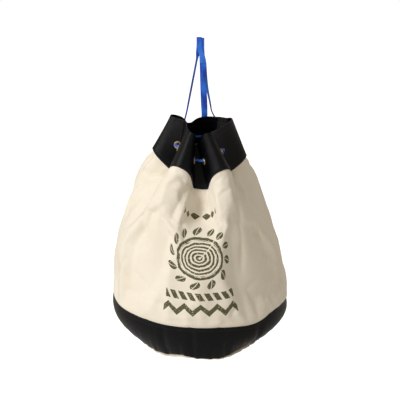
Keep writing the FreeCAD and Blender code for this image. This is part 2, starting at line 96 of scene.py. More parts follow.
# The folds go round from the middle of the back by the left, a ridge and a valley in
# turn. A ring gives each one's middle (right, back, up) and half the width of its flat
# in shares of the gather's size, then the direction that it faces in degrees.
FOLD_TURNS = np.array([-180, -140, -114, -80, -38, 0, 38, 84, 114, 140, 180])
SEAM_RING = np.array([
    (0.02, 0.46, -2.54, 0.36, 180), (-0.24, -0.10, -2.92, 0.10, -144),
    (-1.10, -0.17, -2.48, 0.24, -106), (-0.53, -0.52, -3.04, 0.10, -70),
    (-0.49, -1.36, -2.58, 0.28, -20), (0.02, -0.94, -3.22, 0.17, 0),
    (0.56, -1.36, -2.56, 0.28, 26), (0.44, -0.60, -3.04, 0.10, 70),
    (1.09, -0.17, -2.49, 0.24, 106), (0.28, -0.10, -2.92, 0.10, 144)])
LIP_RING = np.array([
    (0.20, 0.00, -1.76, 0.18, 180), (-0.24, -0.14, -1.90, 0.06, -144),
    (-0.62, -0.22, -1.71, 0.18, -172), (-0.31, -0.52, -1.78, 0.09, -80),
    (-0.18, -1.12, -1.88, 0.09, -12), (-0.10, -0.70, -2.26, 0.06, 0),
    (0.14, -1.12, -1.87, 0.09, 12), (0.30, -0.92, -1.86, 0.09, 60),
    (0.74, -0.30, -1.69, 0.09, 110), (0.52, -0.06, -1.73, 0.09, 160)])


def eased(share):
    """From 0 to 1 as the share does, but level at both ends."""
    share = np.clip(share, 0.0, 1.0)
    return share * share * (3.0 - 2.0 * share)


def fold_flat(folds, along):
    """A point on the flat of each fold, that far along it from its middle."""
    turn = np.radians(folds[..., 4])
    right = folds[..., 0] * GATHER + along * np.cos(turn)
    back = folds[..., 1] * GATHER + along * np.sin(turn)
    return np.stack([right, back, folds[..., 2] * GATHER], axis=-1)


def crisp_folds(angle, ring, gathered):
    """The ring of folds: each wall of a pleat climbs from a valley's flat to a ridge's."""
    turn = np.degrees((angle + math.pi) % (2 * math.pi) - math.pi)
    after = np.clip(np.searchsorted(FOLD_TURNS, turn, side="right"), 1, 10)
    before = after - 1
    valley = np.where(before % 2 == 1, before, after)
    ridge = np.where(before % 2 == 1, after, before)
    span = np.abs(FOLD_TURNS[ridge] - FOLD_TURNS[valley])
    share = np.abs(turn - FOLD_TURNS[valley]) / span
    hand = np.where(ridge > valley, 1.0, -1.0)
    foot = VALLEY_SHARE + (RIDGE_SHARE - VALLEY_SHARE) * 0.8 * (1 - gathered)
    low_fold = ring[valley % 10]
    high_fold = ring[ridge % 10]
    open_half = SACK_HALF_WIDTH * np.sin(np.radians(span) * foot)
    half_floor = open_half + (low_fold[..., 3] * GATHER - open_half) * gathered
    low = fold_flat(low_fold, hand * half_floor * np.sin(math.pi / 2 * np.clip(share / foot, 0, 1)))
    rising = np.sin(math.pi / 2 * np.clip((1 - share) / (1 - RIDGE_SHARE), 0, 1))
    high = fold_flat(high_fold, -hand * high_fold[..., 3] * GATHER * rising)
    climb = eased((share - foot / 2) / (WALL_SHARE - foot / 2))[..., None]
    return low + (high - low) * climb


def soft_folds(angle, ring, gathered):
    """The ring of folds, with its corners rounded along the cloth."""
    total = 0.0
    for place, weight in ((-2, 1), (-1, 4), (0, 6), (1, 4), (2, 1)):
        total = total + weight / 16 * crisp_folds(angle + math.radians(FOLD_SOFTNESS * place), ring, gathered)
    return total


def around(angle, table):
    """A value along the cloth from places in degrees and millimetres, made smooth."""
    turn = np.degrees((angle + math.pi) % (2 * math.pi) - math.pi)
    places, values = np.array(table, float).T
    steps = [np.interp(turn + step, places, values) for step in (-4.5, -1.5, 1.5, 4.5)]
    return sum(steps) / 4000


# The load pulls the lower seam down in front and leaves it higher at the left.
SEAM_RISES = ((-180, 0), (-130, 3), (-100, 14), (-88, 18), (-76, 10), (-67, 7), (-53, 5), (-39, 2), (-26, 0),
              (0, -1), (12, -2), (24, -6), (35, -11), (44, -8), (54, 3), (70, 4), (90, 0), (180, 0))


def cloth_surface(angle, height):
    """The middle of the cloth. Angle is 0 at the front and grows to the right, and
    height is measured up along the cloth from the rim of the base."""
    across = SACK_HALF_WIDTH * np.sin(angle)
    back = -SACK_HALF_DEPTH * np.cos(angle)
    up = np.clip((height - SEAM_LOW) / BODY, 0, 1)
    over = np.clip((height - SEAM_HIGH) / TOP, 0, 1.05)
    seam = soft_folds(angle, SEAM_RING, up)
    lip = soft_folds(angle, LIP_RING, np.ones_like(up))
    inward = BODY_BULGE * up + (1 - BODY_BULGE) * up * up
    climb = (1 + SHOULDER_BULGE) * up - SHOULDER_BULGE * up * up
    full = np.stack([across, back + SACK_BACK, np.full_like(across, -BASE_DROP)], axis=-1)
    blend = np.stack([inward, inward, climb], axis=-1)
    point = full + (seam - full) * blend + (lip - seam) * over[..., None]
    down = np.clip((SEAM_LOW - height) / BAND, 0, None)
    tuck = TUCK_FRONT + TUCK_SIDE * np.sin(angle) ** 2
    narrower = 1 - tuck * down**TUCK_BEND / np.hypot(across, back)
    short = 0.6 * (tuck / BAND) ** 2 * down**1.2
    point[..., 0] = point[..., 0] * narrower
    point[..., 1] = SACK_BACK + (point[..., 1] - SACK_BACK) * narrower
    point[..., 2] -= BAND * down * (1 - short)
    point[..., 0] -= BODY_BOW * 4 * up * (1 - up)
    point[..., 2] -= MOUTH_LEAN * point[..., 0] * eased(up)
    fade = np.where(height < SEAM_LOW, 1 - down, (1 - np.clip(up / SEAM_RISE_REACH, 0, 1)) ** 2)
    point[..., 2] += around(angle, SEAM_RISES) * fade
    return point


def cloth_outward(angle, height):
    """The direction that the outside of the cloth faces."""
    step = 0.01
    low = np.maximum(height - 0.002, 0.0)
    high = np.minimum(height + 0.002, LIP)
    round_it = cloth_surface(angle + step, height) - cloth_surface(angle - step, height)
    up_it = cloth_surface(angle, high) - cloth_surface(angle, low)
    outward = np.cross(round_it, up_it)
    return outward / np.linalg.norm(outward, axis=-1, keepdims=True)


def cloth_tube(name, low, high, columns, rows, outside, shape=cloth_surface):
    """A tube of cloth between two heights, with its own lengths as its UV map. Its
    flat angles and heights come back with it."""
    mesh = bpy.data.meshes.new(name)
    working = bmesh.new()
    bmesh.ops.create_grid(working, x_segments=columns, y_segments=rows, size=0.5)
    lengths = working.loops.layers.uv.new("cloth")
    flat = np.array([vertex.co[:2] for vertex in working.verts]) + 0.5
    angle = (flat[:, 0] * 2 - 1) * math.pi
    height = low + (high - low) * flat[:, 1]
    kept = working.verts.layers.float_vector.new("flat")
    for vertex, turn, rise in zip(working.verts, angle, height):
        vertex[kept] = (turn, rise, 0.0)
    for face in working.faces:
        for loop in face.loops:
            index = loop.vert.index
            loop[lengths].uv = (angle[index] * CLOTH_RADIUS, height[index])
    place = shape(angle, height) + cloth_outward(angle, height) * outside(angle, height)[:, None]
    for vertex, point in zip(working.verts, place):
        vertex.co = point
    bmesh.ops.remove_doubles(working, verts=working.verts, dist=0.00002)
    bmesh.ops.recalc_face_normals(working, faces=working.faces)
    flat = np.array([vertex[kept][:2] for vertex in working.verts])
    working.verts.layers.float_vector.remove(kept)
    working.to_mesh(mesh)
    working.free()
    mesh.shade_smooth()
    piece = bpy.data.objects.new(name, mesh)
    scene.collection.objects.link(piece)
    return piece, flat


def thicken(piece, thickness):
    """Gives a sheet its thickness, half of it to each side."""
    wall = piece.modifiers.new("thickness", "SOLIDIFY")
    wall.thickness = thickness
    wall.offset = 0.0
    wall.use_even_offset = False


CANVAS_LONGER = 0.03
SETTLE_FRAMES = 24
BUCKLE_MOST = 0.014


def settle(piece, hold):
    """The canvas as it buckles when it is a little longer than the smooth form. It is
    sewn fast where hold is 1 and led back a little where it is small."""
    start = np.array([vertex.co for vertex in piece.data.vertices])
    sewn = piece.vertex_groups.new(name="sewn")
    for index, weight in enumerate(hold):
        sewn.add([index], float(weight), "REPLACE")
    canvas = piece.modifiers.new("canvas", "CLOTH")
    canvas.settings.quality = 6
    canvas.settings.mass = 0.3
    canvas.settings.tension_stiffness = 20.0
    canvas.settings.compression_stiffness = 20.0
    canvas.settings.shear_stiffness = 12.0
    canvas.settings.bending_stiffness = 0.12
    canvas.settings.tension_damping = 12.0
    canvas.settings.compression_damping = 12.0
    canvas.settings.shear_damping = 12.0
    canvas.settings.shrink_min = -CANVAS_LONGER
    canvas.settings.vertex_group_mass = "sewn"
    canvas.settings.pin_stiffness = 1.0
    canvas.settings.effector_weights.gravity = 0.0
    canvas.collision_settings.use_collision = False
    canvas.point_cache.frame_end = SETTLE_FRAMES
    for number in range(1, SETTLE_FRAMES + 1):
        scene.frame_set(number)
    settled = piece.evaluated_get(bpy.context.evaluated_depsgraph_get()).to_mesh()
    moved = np.array([vertex.co for vertex in settled.vertices]) - start
    reach = np.linalg.norm(moved, axis=1, keepdims=True)
    moved *= np.minimum(1.0, BUCKLE_MOST / np.maximum(reach, 1e-9))
    piece.modifiers.remove(canvas)
    piece.vertex_groups.remove(sewn)
    scene.frame_set(1)
    for vertex, point in zip(piece.data.vertices, start + moved):
        vertex.co = point


def crumple(piece, creases):
    """Presses creases into a piece. Each is a line on the flat cloth from one place to
    another (degrees, height), half its width, and its rise, or its depth if below 0.
    It is sharp along its middle and dies out at both ends."""
    mesh = piece.data
    place = np.zeros((len(mesh.vertices), 2))
    for loop, corner in zip(mesh.loops, mesh.uv_layers["cloth"].data):
        place[loop.vertex_index] = corner.uv
    rise = np.zeros(len(place))
    for turn, height, last_turn, last_height, half_width, depth in creases:
        start = np.array([math.radians(turn) * CLOTH_RADIUS, height])
        line = np.array([math.radians(last_turn) * CLOTH_RADIUS, last_height]) - start
        share = (place - start) @ line / (line @ line)
        off = np.linalg.norm(place - start - np.clip(share, 0, 1)[:, None] * line, axis=1)
        fade = eased(1 - np.abs(share - 0.5) / 0.75)
        rise += depth * np.exp(1 - np.sqrt(1 + (off / half_width * 2) ** 2)) * fade
    normals = np.array([vertex.normal for vertex in mesh.vertices])
    for vertex, move in zip(mesh.vertices, normals * rise[:, None]):
        vertex.co += Vector(move)
    mesh.update()


def made_fine(piece):
    """One level of subdivision, kept in the mesh, so that creases can be sharp."""
    rounder = piece.modifiers.new("rounder", "SUBSURF")
    rounder.levels = 1
    fine = bpy.data.meshes.new_from_object(piece.evaluated_get(bpy.context.evaluated_depsgraph_get()))
    piece.modifiers.remove(rounder)
    piece.data = fine
    fine.shade_smooth()


class Socket:
    """A socket of a material, which can be used in sums."""

    def __init__(self, tree, link):
        self.tree = tree
        self.link = link

    def node(self, kind, settings=None, inputs=None, output=0):
        """Any node of this material, as the socket that it puts out."""
        made = self.tree.nodes.new(kind)
        for name, value in (settings or {}).items():
            setattr(made, name, value)
        for name, value in (inputs or {}).items():
            if isinstance(value, Socket):
                self.tree.links.new(value.link, made.inputs[name])
            else:
                made.inputs[name].default_value = value
        return Socket(self.tree, made.outputs[output])

    def maths(self, operation, *values):
        return self.node("ShaderNodeMath", {"operation": operation}, dict(enumerate(values)))

    def __add__(self, other):
        return self.maths("ADD", self, other)

    __radd__ = __add__

    def __sub__(self, other):
        return self.maths("SUBTRACT", self, other)

    def __rsub__(self, other):
        return self.maths("SUBTRACT", other, self)

    def __mul__(self, other):
        return self.maths("MULTIPLY", self, other)

    __rmul__ = __mul__

    def __truediv__(self, other):
        return self.maths("DIVIDE", self, other)

    def __lt__(self, other):
        return self.maths("LESS_THAN", self, other)

    def __gt__(self, other):
        return self.maths("GREATER_THAN", self, other)

    def abs(self):
        return self.maths("ABSOLUTE", self)

    def root(self):
        return self.maths("SQRT", self)

    def turn_from(self, other):
        """The direction of this height over the other width, in radians."""
        return self.maths("ARCTAN2", self, other)

    def sine(self):
        return self.maths("SINE", self)

    def over(self, other):
        """The greater of the two."""
        return self.maths("MAXIMUM", self, other)

    def repeat(self, pitch):
        """The distance from the middle of each repeat, from -0.5 to 0.5 of it."""
        return self.maths("FRACT", self / pitch) - 0.5

    def part(self, axis):
        """One of these coordinates, X, Y or Z."""
        return self.node("ShaderNodeSeparateXYZ", None, {"Vector": self}, axis)

    def ramp_up(self, low, high):
        """0 below low, 1 above high, smooth between."""
        settings = {"interpolation_type": "SMOOTHSTEP"}
        return self.node("ShaderNodeMapRange", settings, {"Value": self, "From Min": low, "From Max": high})

    def noise(self, scale, detail=2.0, roughness=0.5, stretch=(1, 1, 1)):
        """Noise over these coordinates, from 0 to 1."""
        place = self.node("ShaderNodeMapping", None, {"Vector": self, "Scale": stretch})
        given = {"Vector": place, "Scale": scale, "Detail": detail, "Roughness": roughness}
        return self.node("ShaderNodeTexNoise", {"noise_dimensions": "3D"}, given)

    def mixed(self, colour, other):
        """A colour, turned to the other one where this socket is 1."""
        made = self.tree.nodes.new("ShaderNodeMix")
        made.data_type = "RGBA"
        for index, value in ((0, self), (6, colour), (7, other)):
            if isinstance(value, Socket):
                self.tree.links.new(value.link, made.inputs[index])
            else:
                made.inputs[index].default_value = (*value, 1.0)
        return Socket(self.tree, made.outputs[2])

    def relief(self, strength, distance, under=None):
        """A bump from this height, over another bump."""
        given = {"Height": self, "Strength": strength, "Distance": distance}
        if under is not None:
            given["Normal"] = under
        return self.node("ShaderNodeBump", None, given)


def finish(name, coordinates="UV"):
    """A new material: its coordinates and its shader."""
    material = bpy.data.materials.new(name)
    material.use_nodes = True
    tree = material.node_tree
    shader = tree.nodes["Principled BSDF"]
    if coordinates == "UV":
        source = tree.nodes.new("ShaderNodeUVMap")
        source.uv_map = "cloth"
        return material, Socket(tree, source.outputs["UV"]), shader
    source = tree.nodes.new("ShaderNodeTexCoord")
    return material, Socket(tree, source.outputs[coordinates]), shader


def wire(shader, **values):
    """Links or sets a shader's sockets, named with _ for each space."""
    for name, value in values.items():
        socket = shader.inputs[name.replace("_", " ")]
        if isinstance(value, Socket):
            value.tree.links.new(value.link, socket)
        else:
            socket.default_value = value


def plain_weave(place, pitch):
    """The height of a plain weave: warp and weft threads take turns on top."""
    warp = (place.part("X") * (math.pi / pitch)).sine()
    weft = (place.part("Y") * (math.pi / pitch)).sine()
    return (warp.abs() * 0.5 + weft.abs() * 0.5) + (warp * weft) * 0.35


STITCH_PITCH = 0.0036
STITCH_SHARE = 0.72
THREAD_HALF = 0.0007


def stitch_row(place, level):
    """1 on the stitches of a row sewn round the cloth at a height."""
    along = place.part("X").repeat(STITCH_PITCH).abs()
    across = (place.part("Y") - level).abs()
    return (along < STITCH_SHARE / 2) * (across < THREAD_HALF)


# The print, in metres on the flat cloth: how high each of its rows stands, how far it
# goes to each side of the middle, and how often its motif comes.
PRINT_MIDDLE = 0.004
RINGS_HEIGHT = 0.276
RINGS_REACH = 0.049
RING_PITCH = 0.0092
BARK_REACH = 0.0545
LEAVES = 13
WREATH_REACH = 0.0745
LEAF_HALF_LENGTH = 0.0125
BARS_HEIGHT = 0.173
BARS_HALF_WIDTH = 0.078
BAR_PITCH = 0.019
ZIGZAG_HEIGHT = 0.128
ZIGZAG_HALF_WIDTH = 0.086
ZIGZAG_PITCH = 0.036
DIAMONDS_HEIGHT = 0.392
DIAMONDS_HALF_WIDTH = 0.062
DIAMOND_PITCH = 0.025


def growth_print(place):
    """1 where the print is: the growth rings of a tree in a wreath of leaves, with
    rows of slanted bars, a zigzag and diamonds. It is stencilled and a little worn."""
    right = place.part("X") - PRINT_MIDDLE
    level = place.part("Y")
    up = level - RINGS_HEIGHT
    rough = place.noise(30.0, 3.0, 0.6) - 0.5
    reach = (right * right + up * up).root()
    turn = up.turn_from(right)
    uneven = reach + rough * 0.012
    rings = (uneven.repeat(RING_PITCH).abs() < 0.27) * (reach < RINGS_REACH)
    bark = (uneven - BARK_REACH).abs() < 0.0036
    crack = (turn - 0.9).abs() * reach > 0.0014
    wood = rings.over(bark) * crack
    along = (reach - WREATH_REACH) / LEAF_HALF_LENGTH
    across = (turn * (LEAVES / (2 * math.pi)) + reach * 14.0).repeat(1.0).abs() * 0.036
    leaf = (across < (1 - along * along) * 0.0098) * (across > 0.0009)
    slanted = (right + level * 0.5).repeat(BAR_PITCH).abs() < 0.32
    bars = slanted * ((level - BARS_HEIGHT).abs() < 0.0100) * (right.abs() < BARS_HALF_WIDTH)
    peaks = right.repeat(ZIGZAG_PITCH).abs() * 0.038
    zigzag = ((level - ZIGZAG_HEIGHT - peaks).abs() < 0.0075) * (right.abs() < ZIGZAG_HALF_WIDTH)
    slopes = right.repeat(DIAMOND_PITCH).abs() * DIAMOND_PITCH + (level - DIAMONDS_HEIGHT).abs()
    diamonds = (slopes < 0.0098) * (right.abs() < DIAMONDS_HALF_WIDTH)
    worn = place.noise(260.0, 3.0, 0.6) < 0.64
    return wood.over(leaf).over(bars).over(zigzag).over(diamonds) * worn


# The creases that the load and the gathers leave: first those that run down from the
# mouth and round the lobes, then the small ones above the base, then the back's.
BODY_CREASES = (
    (-1, 0.450, 3, 0.360, 0.034, -0.020), (-17, 0.445, -20, 0.330, 0.010, 0.004),
    (24, 0.440, 27, 0.320, 0.012, 0.005), (-90.5, 0.435, -97, 0.350, 0.008, 0.0035),
    (-98, 0.336, -86, 0.294, 0.008, 0.003), (-85, 0.393, -69, 0.335, 0.010, -0.004),
    (-62, 0.370, -43, 0.250, 0.013, -0.006), (-39, 0.455, -37, 0.290, 0.010, 0.003),
    (-22, 0.430, -27, 0.330, 0.010, -0.0035), (43, 0.450, 38.5, 0.290, 0.009, -0.006),
    (38.5, 0.290, 33, 0.200, 0.010, -0.004), (30, 0.400, 29, 0.230, 0.018, 0.003),
    (98, 0.430, 84, 0.385, 0.008, 0.0035), (104, 0.350, 92, 0.300, 0.009, -0.004),
    (54, 0.320, 62, 0.260, 0.009, -0.0035), (-34, 0.135, -5, 0.142, 0.007, -0.0022),
    (-5, 0.142, 22, 0.128, 0.007, -0.0022), (-26, 0.108, 2, 0.122, 0.006, 0.0018),
    (0, 0.100, 0.5, 0.210, 0.004, 0.0012), (27, 0.150, 19, 0.110, 0.007, -0.0025),
    (-55, 0.195, -38, 0.160, 0.009, -0.0028), (47, 0.180, 34, 0.160, 0.008, -0.0025),
    (72, 0.205, 54, 0.266, 0.010, -0.003), (-75, 0.150, -62, 0.220, 0.010, -0.003),
    (-12, 0.330, -7, 0.240, 0.010, -0.002), (14, 0.220, 28, 0.180, 0.009, -0.002),
    (150, 0.400, 165, 0.300, 0.011, -0.004), (-150, 0.420, -162, 0.320, 0.011, -0.004),
    (171, 0.196, 146, 0.160, 0.010, -0.003), (-140, 0.260, -118, 0.190, 0.010, -0.0035),
    (122, 0.300, 136, 0.220, 0.011, -0.0035), (-172, 0.300, -150, 0.230, 0.012, 0.003),
    (108, 0.160, 125, 0.200, 0.009, -0.003))
SEAM_LAP = 0.004
SEWN_FAST = 0.005
LED_BACK = 0.08
body, flat = cloth_tube("cream_body", SEAM_LOW - SEAM_LAP, SEAM_HIGH + SEAM_LAP, 180, 60,
                        lambda angle, height: 0.0 * height)
to_seam = np.minimum(flat[:, 1] - SEAM_LOW, SEAM_HIGH - flat[:, 1])
settle(body, np.where(to_seam < SEWN_FAST, 1.0, 0.03 + 0.10 * eased(1 - to_seam / LED_BACK)))
made_fine(body)
crumple(body, BODY_CREASES)
thicken(body, CANVAS)

WARM_CREAM = (0.83, 0.77, 0.66)
SHADED_CREAM = (0.70, 0.62, 0.49)
PRINT_OLIVE = (0.072, 0.070, 0.021)
SIDE_SEAMS = (-108.0, 72.0)
FELLED_HALF = 0.0067
FELLED_STITCH = 0.0045
WEAVE_PITCH = 0.0009
cream, cloth_place, shader = finish("cream_canvas")
weave = plain_weave(cloth_place, WEAVE_PITCH)
cloud = cloth_place.noise(9.0, 4.0, 0.6)
slub = cloth_place.noise(60.0, 3.0, 0.6, stretch=(1.0, 12.0, 1.0))
tone = cloud.ramp_up(0.35, 0.75) * 0.35 + slub.ramp_up(0.45, 0.75) * 0.15
colour = (growth_print(cloth_place) * 0.96).mixed(tone.mixed(WARM_CREAM, SHADED_CREAM), PRINT_OLIVE)
crease = cloth_place.noise(40.0, 5.0, 0.65)
seams = 0.0
for turn in SIDE_SEAMS:
    off = (cloth_place.part("X") - math.radians(turn) * CLOTH_RADIUS).abs()
    felled = 1 - off.ramp_up(FELLED_HALF - 0.0005, FELLED_HALF + 0.0005)
    stitched = (off - FELLED_STITCH).abs().ramp_up(0.0006, 0.0002)
    seams = seams + felled + stitched * -0.6
relief = weave.relief(0.4, 0.0003, seams.relief(0.6, 0.0012, crease.relief(0.35, 0.003)))
wire(shader, Base_Color=colour, Normal=relief, Roughness=0.9, Sheen_Weight=0.15, Specular_IOR_Level=0.2)
body.data.materials.append(cream)
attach(body, "bag")
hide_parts("body_panel_front", "body_panel_back")

# ---------------------------------------------------------------- the black base band
# A strip of black canvas, sewn over the lower edge of the sack and to the base disc.
# It turns in under the full sack and puckers where the disc is sewn to it.
PUCKER = 0.0012
SMALL_PUCKER = 0.0008
DENT = 0.004
DENT_TURNS = np.array([-24.0, -5.0, 18.0, 41.0])
DENT_HALF_TURN = 2.2
SIDE_BELLY = 0.008
BASE_STANDS_OUT = 0.0012
RIM_LUMPS = ((-180, 0), (-60, 0), (-43, 4), (-31, 3), (-23, 5), (-15, 15), (-8, 8), (-3, 5), (8, 2), (15, 1),
             (24, 11), (35, 18), (44, 11), (52, 7), (70, 5), (90, 0), (180, 0))


def band_surface(angle, height):
    """The base band, with the lumps and puckers of its sewn rim."""
    point = cloth_surface(angle, height)
    down = np.clip((SEAM_LOW - height) / BAND, 0, 1)
    turn = np.degrees((angle + math.pi) % (2 * math.pi) - math.pi)
    pucker = PUCKER * np.sin(angle * 47) + SMALL_PUCKER * np.sin(angle * 81 + 1.0)
    dent = DENT * np.exp(-(np.abs(turn[..., None] - DENT_TURNS) / DENT_HALF_TURN) ** 2).sum(-1)
    inward = (pucker * down**3 + dent * np.sin(math.pi * down) ** 0.7)[..., None]
    centre = np.stack([0 * angle, 0 * angle + SACK_BACK, point[..., 2]], axis=-1)
    toward = (centre - point) / np.linalg.norm(centre - point, axis=-1, keepdims=True)
    belly = SIDE_BELLY * (np.sin(angle) ** 2 * np.sin(math.pi * down))[..., None]
    point = point + toward * (inward - belly)
    point[..., 2] += around(angle, RIM_LUMPS) * down**2
    return point


base_band, _ = cloth_tube("black_base_band", 0.0, SEAM_LOW + SEAM_LAP, 360, 36,
                          lambda angle, height: BASE_STANDS_OUT + 0 * height, band_surface)
thicken(base_band, CANVAS)
BLACK = (0.0011, 0.0013, 0.0023)
LINT = (0.0036, 0.0041, 0.0058)
BLACK_THREAD = (0.016, 0.016, 0.020)
black, cloth_place, shader = finish("black_canvas")
weave = plain_weave(cloth_place, WEAVE_PITCH)
lint = cloth_place.noise(70.0, 4.0, 0.65)
rows = 0.0
for level in (SEAM_LOW + 0.001, SEAM_LOW - 0.006, SEAM_HIGH - 0.001, SEAM_HIGH + 0.006, LIP - 0.012, 0.006):
    rows = rows + stitch_row(cloth_place, level)
colour = (lint.ramp_up(0.5, 0.8) * 0.5).mixed(BLACK, LINT)
colour = (rows * 0.7).mixed(colour, BLACK_THREAD)
relief = weave.relief(0.4, 0.0003, lint.relief(0.3, 0.002))
relief = rows.relief(0.5, 0.0005, relief)
wire(shader, Base_Color=colour, Normal=relief, Roughness=0.37, Specular_IOR_Level=0.16)
base_band.data.materials.append(black)
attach(base_band, "bag")
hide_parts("base_band")

# ---------------------------------------------------------------- the base disc
# A disc of the cream canvas. Its rim is sewn under the black band, and the middle
# sags a little under what the bag holds.
DISC_SAG = 0.010
RIM_STANDS_OUT = 0.0018
RIM_SHOWS = ((-180, 1), (-40, 1), (-28, 4), (-16, 9), (-9, 2), (5, 0), (14, 2), (22, 7), (36, 9), (46, 2),
             (60, 1), (180, 1))


def disc_surface(angle, share):
    """The disc, at that share of the way from its middle to its rim. The rim shows
    below the band by the millimetres of RIM_SHOWS."""
    foot = np.zeros_like(angle)
    rim = band_surface(angle, foot) + cloth_outward(angle, foot) * RIM_STANDS_OUT
    middle = np.array([0.0, SACK_BACK, rim[:, 2].min() - DISC_SAG])
    point = middle + (rim - middle) * share[:, None]
    rise = np.clip((share - 0.1) / 0.9, 0, 1) ** 1.5
    point[:, 2] = middle[2] + (rim[:, 2] - middle[2]) * rise - 0.0008
    point[:, 2] -= around(angle, RIM_SHOWS) * np.clip((share - 0.9) / 0.1, 0, 1)
    return point


disc_mesh = bpy.data.meshes.new("cream_base_disc")
working = bmesh.new()
bmesh.ops.create_grid(working, x_segments=180, y_segments=24, size=0.5)
lengths = working.loops.layers.uv.new("cloth")
flat = np.array([vertex.co[:2] for vertex in working.verts]) + 0.5
angle = (flat[:, 0] * 2 - 1) * math.pi
share = flat[:, 1]
for face in working.faces:
    for loop in face.loops:
        index = loop.vert.index
        reach = share[index] * CLOTH_RADIUS
        loop[lengths].uv = (reach * math.sin(angle[index]), 2.0 - reach * math.cos(angle[index]))
for vertex, point in zip(working.verts, disc_surface(angle, share)):
    vertex.co = point
bmesh.ops.remove_doubles(working, verts=working.verts, dist=0.00002)
bmesh.ops.recalc_face_normals(working, faces=working.faces)
working.to_mesh(disc_mesh)
working.free()
disc_mesh.shade_smooth()
base_disc = bpy.data.objects.new("cream_base_disc", disc_mesh)
scene.collection.objects.link(base_disc)
thicken(base_disc, CANVAS)
base_disc.data.materials.append(cream)
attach(base_disc, "bag")
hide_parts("base_disc")

# ---------------------------------------------------------------- the black top band
# Two layers of black canvas sewn over the sack's upper edge and folded over at the
# lip. Ten brass eyelets go through both layers.
TWO_LAYERS = 0.0022
TOP_STANDS_OUT = 0.0016
TOP_CREASES = (
    (-94, SEAM_HIGH + 0.020, -62, SEAM_HIGH + 0.074, 0.009, 0.0035),
    (-84, SEAM_HIGH + 0.075, -70, SEAM_HIGH + 0.095, 0.008, -0.002),
    (88, SEAM_HIGH + 0.020, 66, SEAM_HIGH + 0.070, 0.010, 0.003),
    (10, SEAM_HIGH + 0.010, 16, SEAM_HIGH + 0.035, 0.006, -0.002),
    (150, SEAM_HIGH + 0.030, 168, SEAM_HIGH + 0.060, 0.009, -0.0025),
    (-130, SEAM_HIGH + 0.060, -146, SEAM_HIGH + 0.030, 0.009, 0.0025))
top_band, _ = cloth_tube("black_top_band", SEAM_HIGH - SEAM_LAP, LIP, 480, 48,
                         lambda angle, height: TOP_STANDS_OUT + 0 * height)
crumple(top_band, TOP_CREASES)
thicken(top_band, TWO_LAYERS)
top_band.data.materials.append(black)
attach(top_band, "bag")
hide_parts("top_band")

# ---------------------------------------------------------------- the brass eyelets
# Ten rolled brass eyelets and their washers, a little tarnished by handling.
brass, place, shader = finish("eyelet_brass", "Object")
tarnish = place.noise(900.0, 3.0, 0.6)
colour = tarnish.ramp_up(0.4, 0.75).mixed((0.78, 0.60, 0.30), (0.50, 0.36, 0.16))
wire(shader, Base_Color=colour, Metallic=1.0, Roughness=tarnish * 0.25 + 0.22)
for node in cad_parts:
    if node.startswith("eyelet"):
        metal = bpy.data.objects[node]
        metal.data.materials.clear()
        metal.data.materials.append(brass)

# ---------------------------------------------------------------- the tape
# Two closed lengths of flat blue polyester tape, 12 mm wide. One is threaded through
# the eight eyelets at the front and sides, the other through the two at the back, and
# the bight of each goes over the hook. In the eyelets the tape is bunched.
TAPE_HALF = 0.006
TAPE_THIN = 0.00075
TAPE_ROUND = 0.0255
TAPE_LIFT = 0.0022
BUNCHED = (0.0028, 0.0021)
EYELET_RISE = 0.050
HOOK_RADIUS = 0.00675
OVER_RADIUS = 0.00855
STRANDS = {
    "left": ((-0.002, OVER_RADIUS, -0.0163), (-0.028, 0.0, -0.150)),
    "right": ((-0.002, -OVER_RADIUS, -0.0163), (0.025, -0.004, -0.150)),
    "rear": ((0.004, HOOK_RADIUS, -0.0163), (0.008, 0.008, -0.150)),
    "front": ((0.004, -HOOK_RADIUS, -0.0163), (0.0115, 0.003, -0.150)),
}
EDGE_ON = {"left": (0.0, 0.2, 68.0), "right": (0.25, 0.8, 72.0)}
SPLIT = -0.050
BOW = 0.0045
BOW_HEIGHT = -0.042
BOW_REACH = 0.024


def smooth_line(stations, steps=8):
    """Stations joined by one smooth quadratic curve, in all their numbers at once."""
    stations = np.array(stations)
    middles = (stations[:-1] + stations[1:]) / 2
    middles[0], middles[-1] = stations[0], stations[-1]
    share = (np.arange(steps) / steps)[:, None]
    line = [start * (1 - share) ** 2 + 2 * corner * share * (1 - share) + end * share**2
            for start, corner, end in zip(middles[:-1], stations[1:-1], middles[1:])]
    return np.concatenate([*line, stations[-1:]])


def unit(vectors):
    return vectors / np.linalg.norm(vectors, axis=-1, keepdims=True)


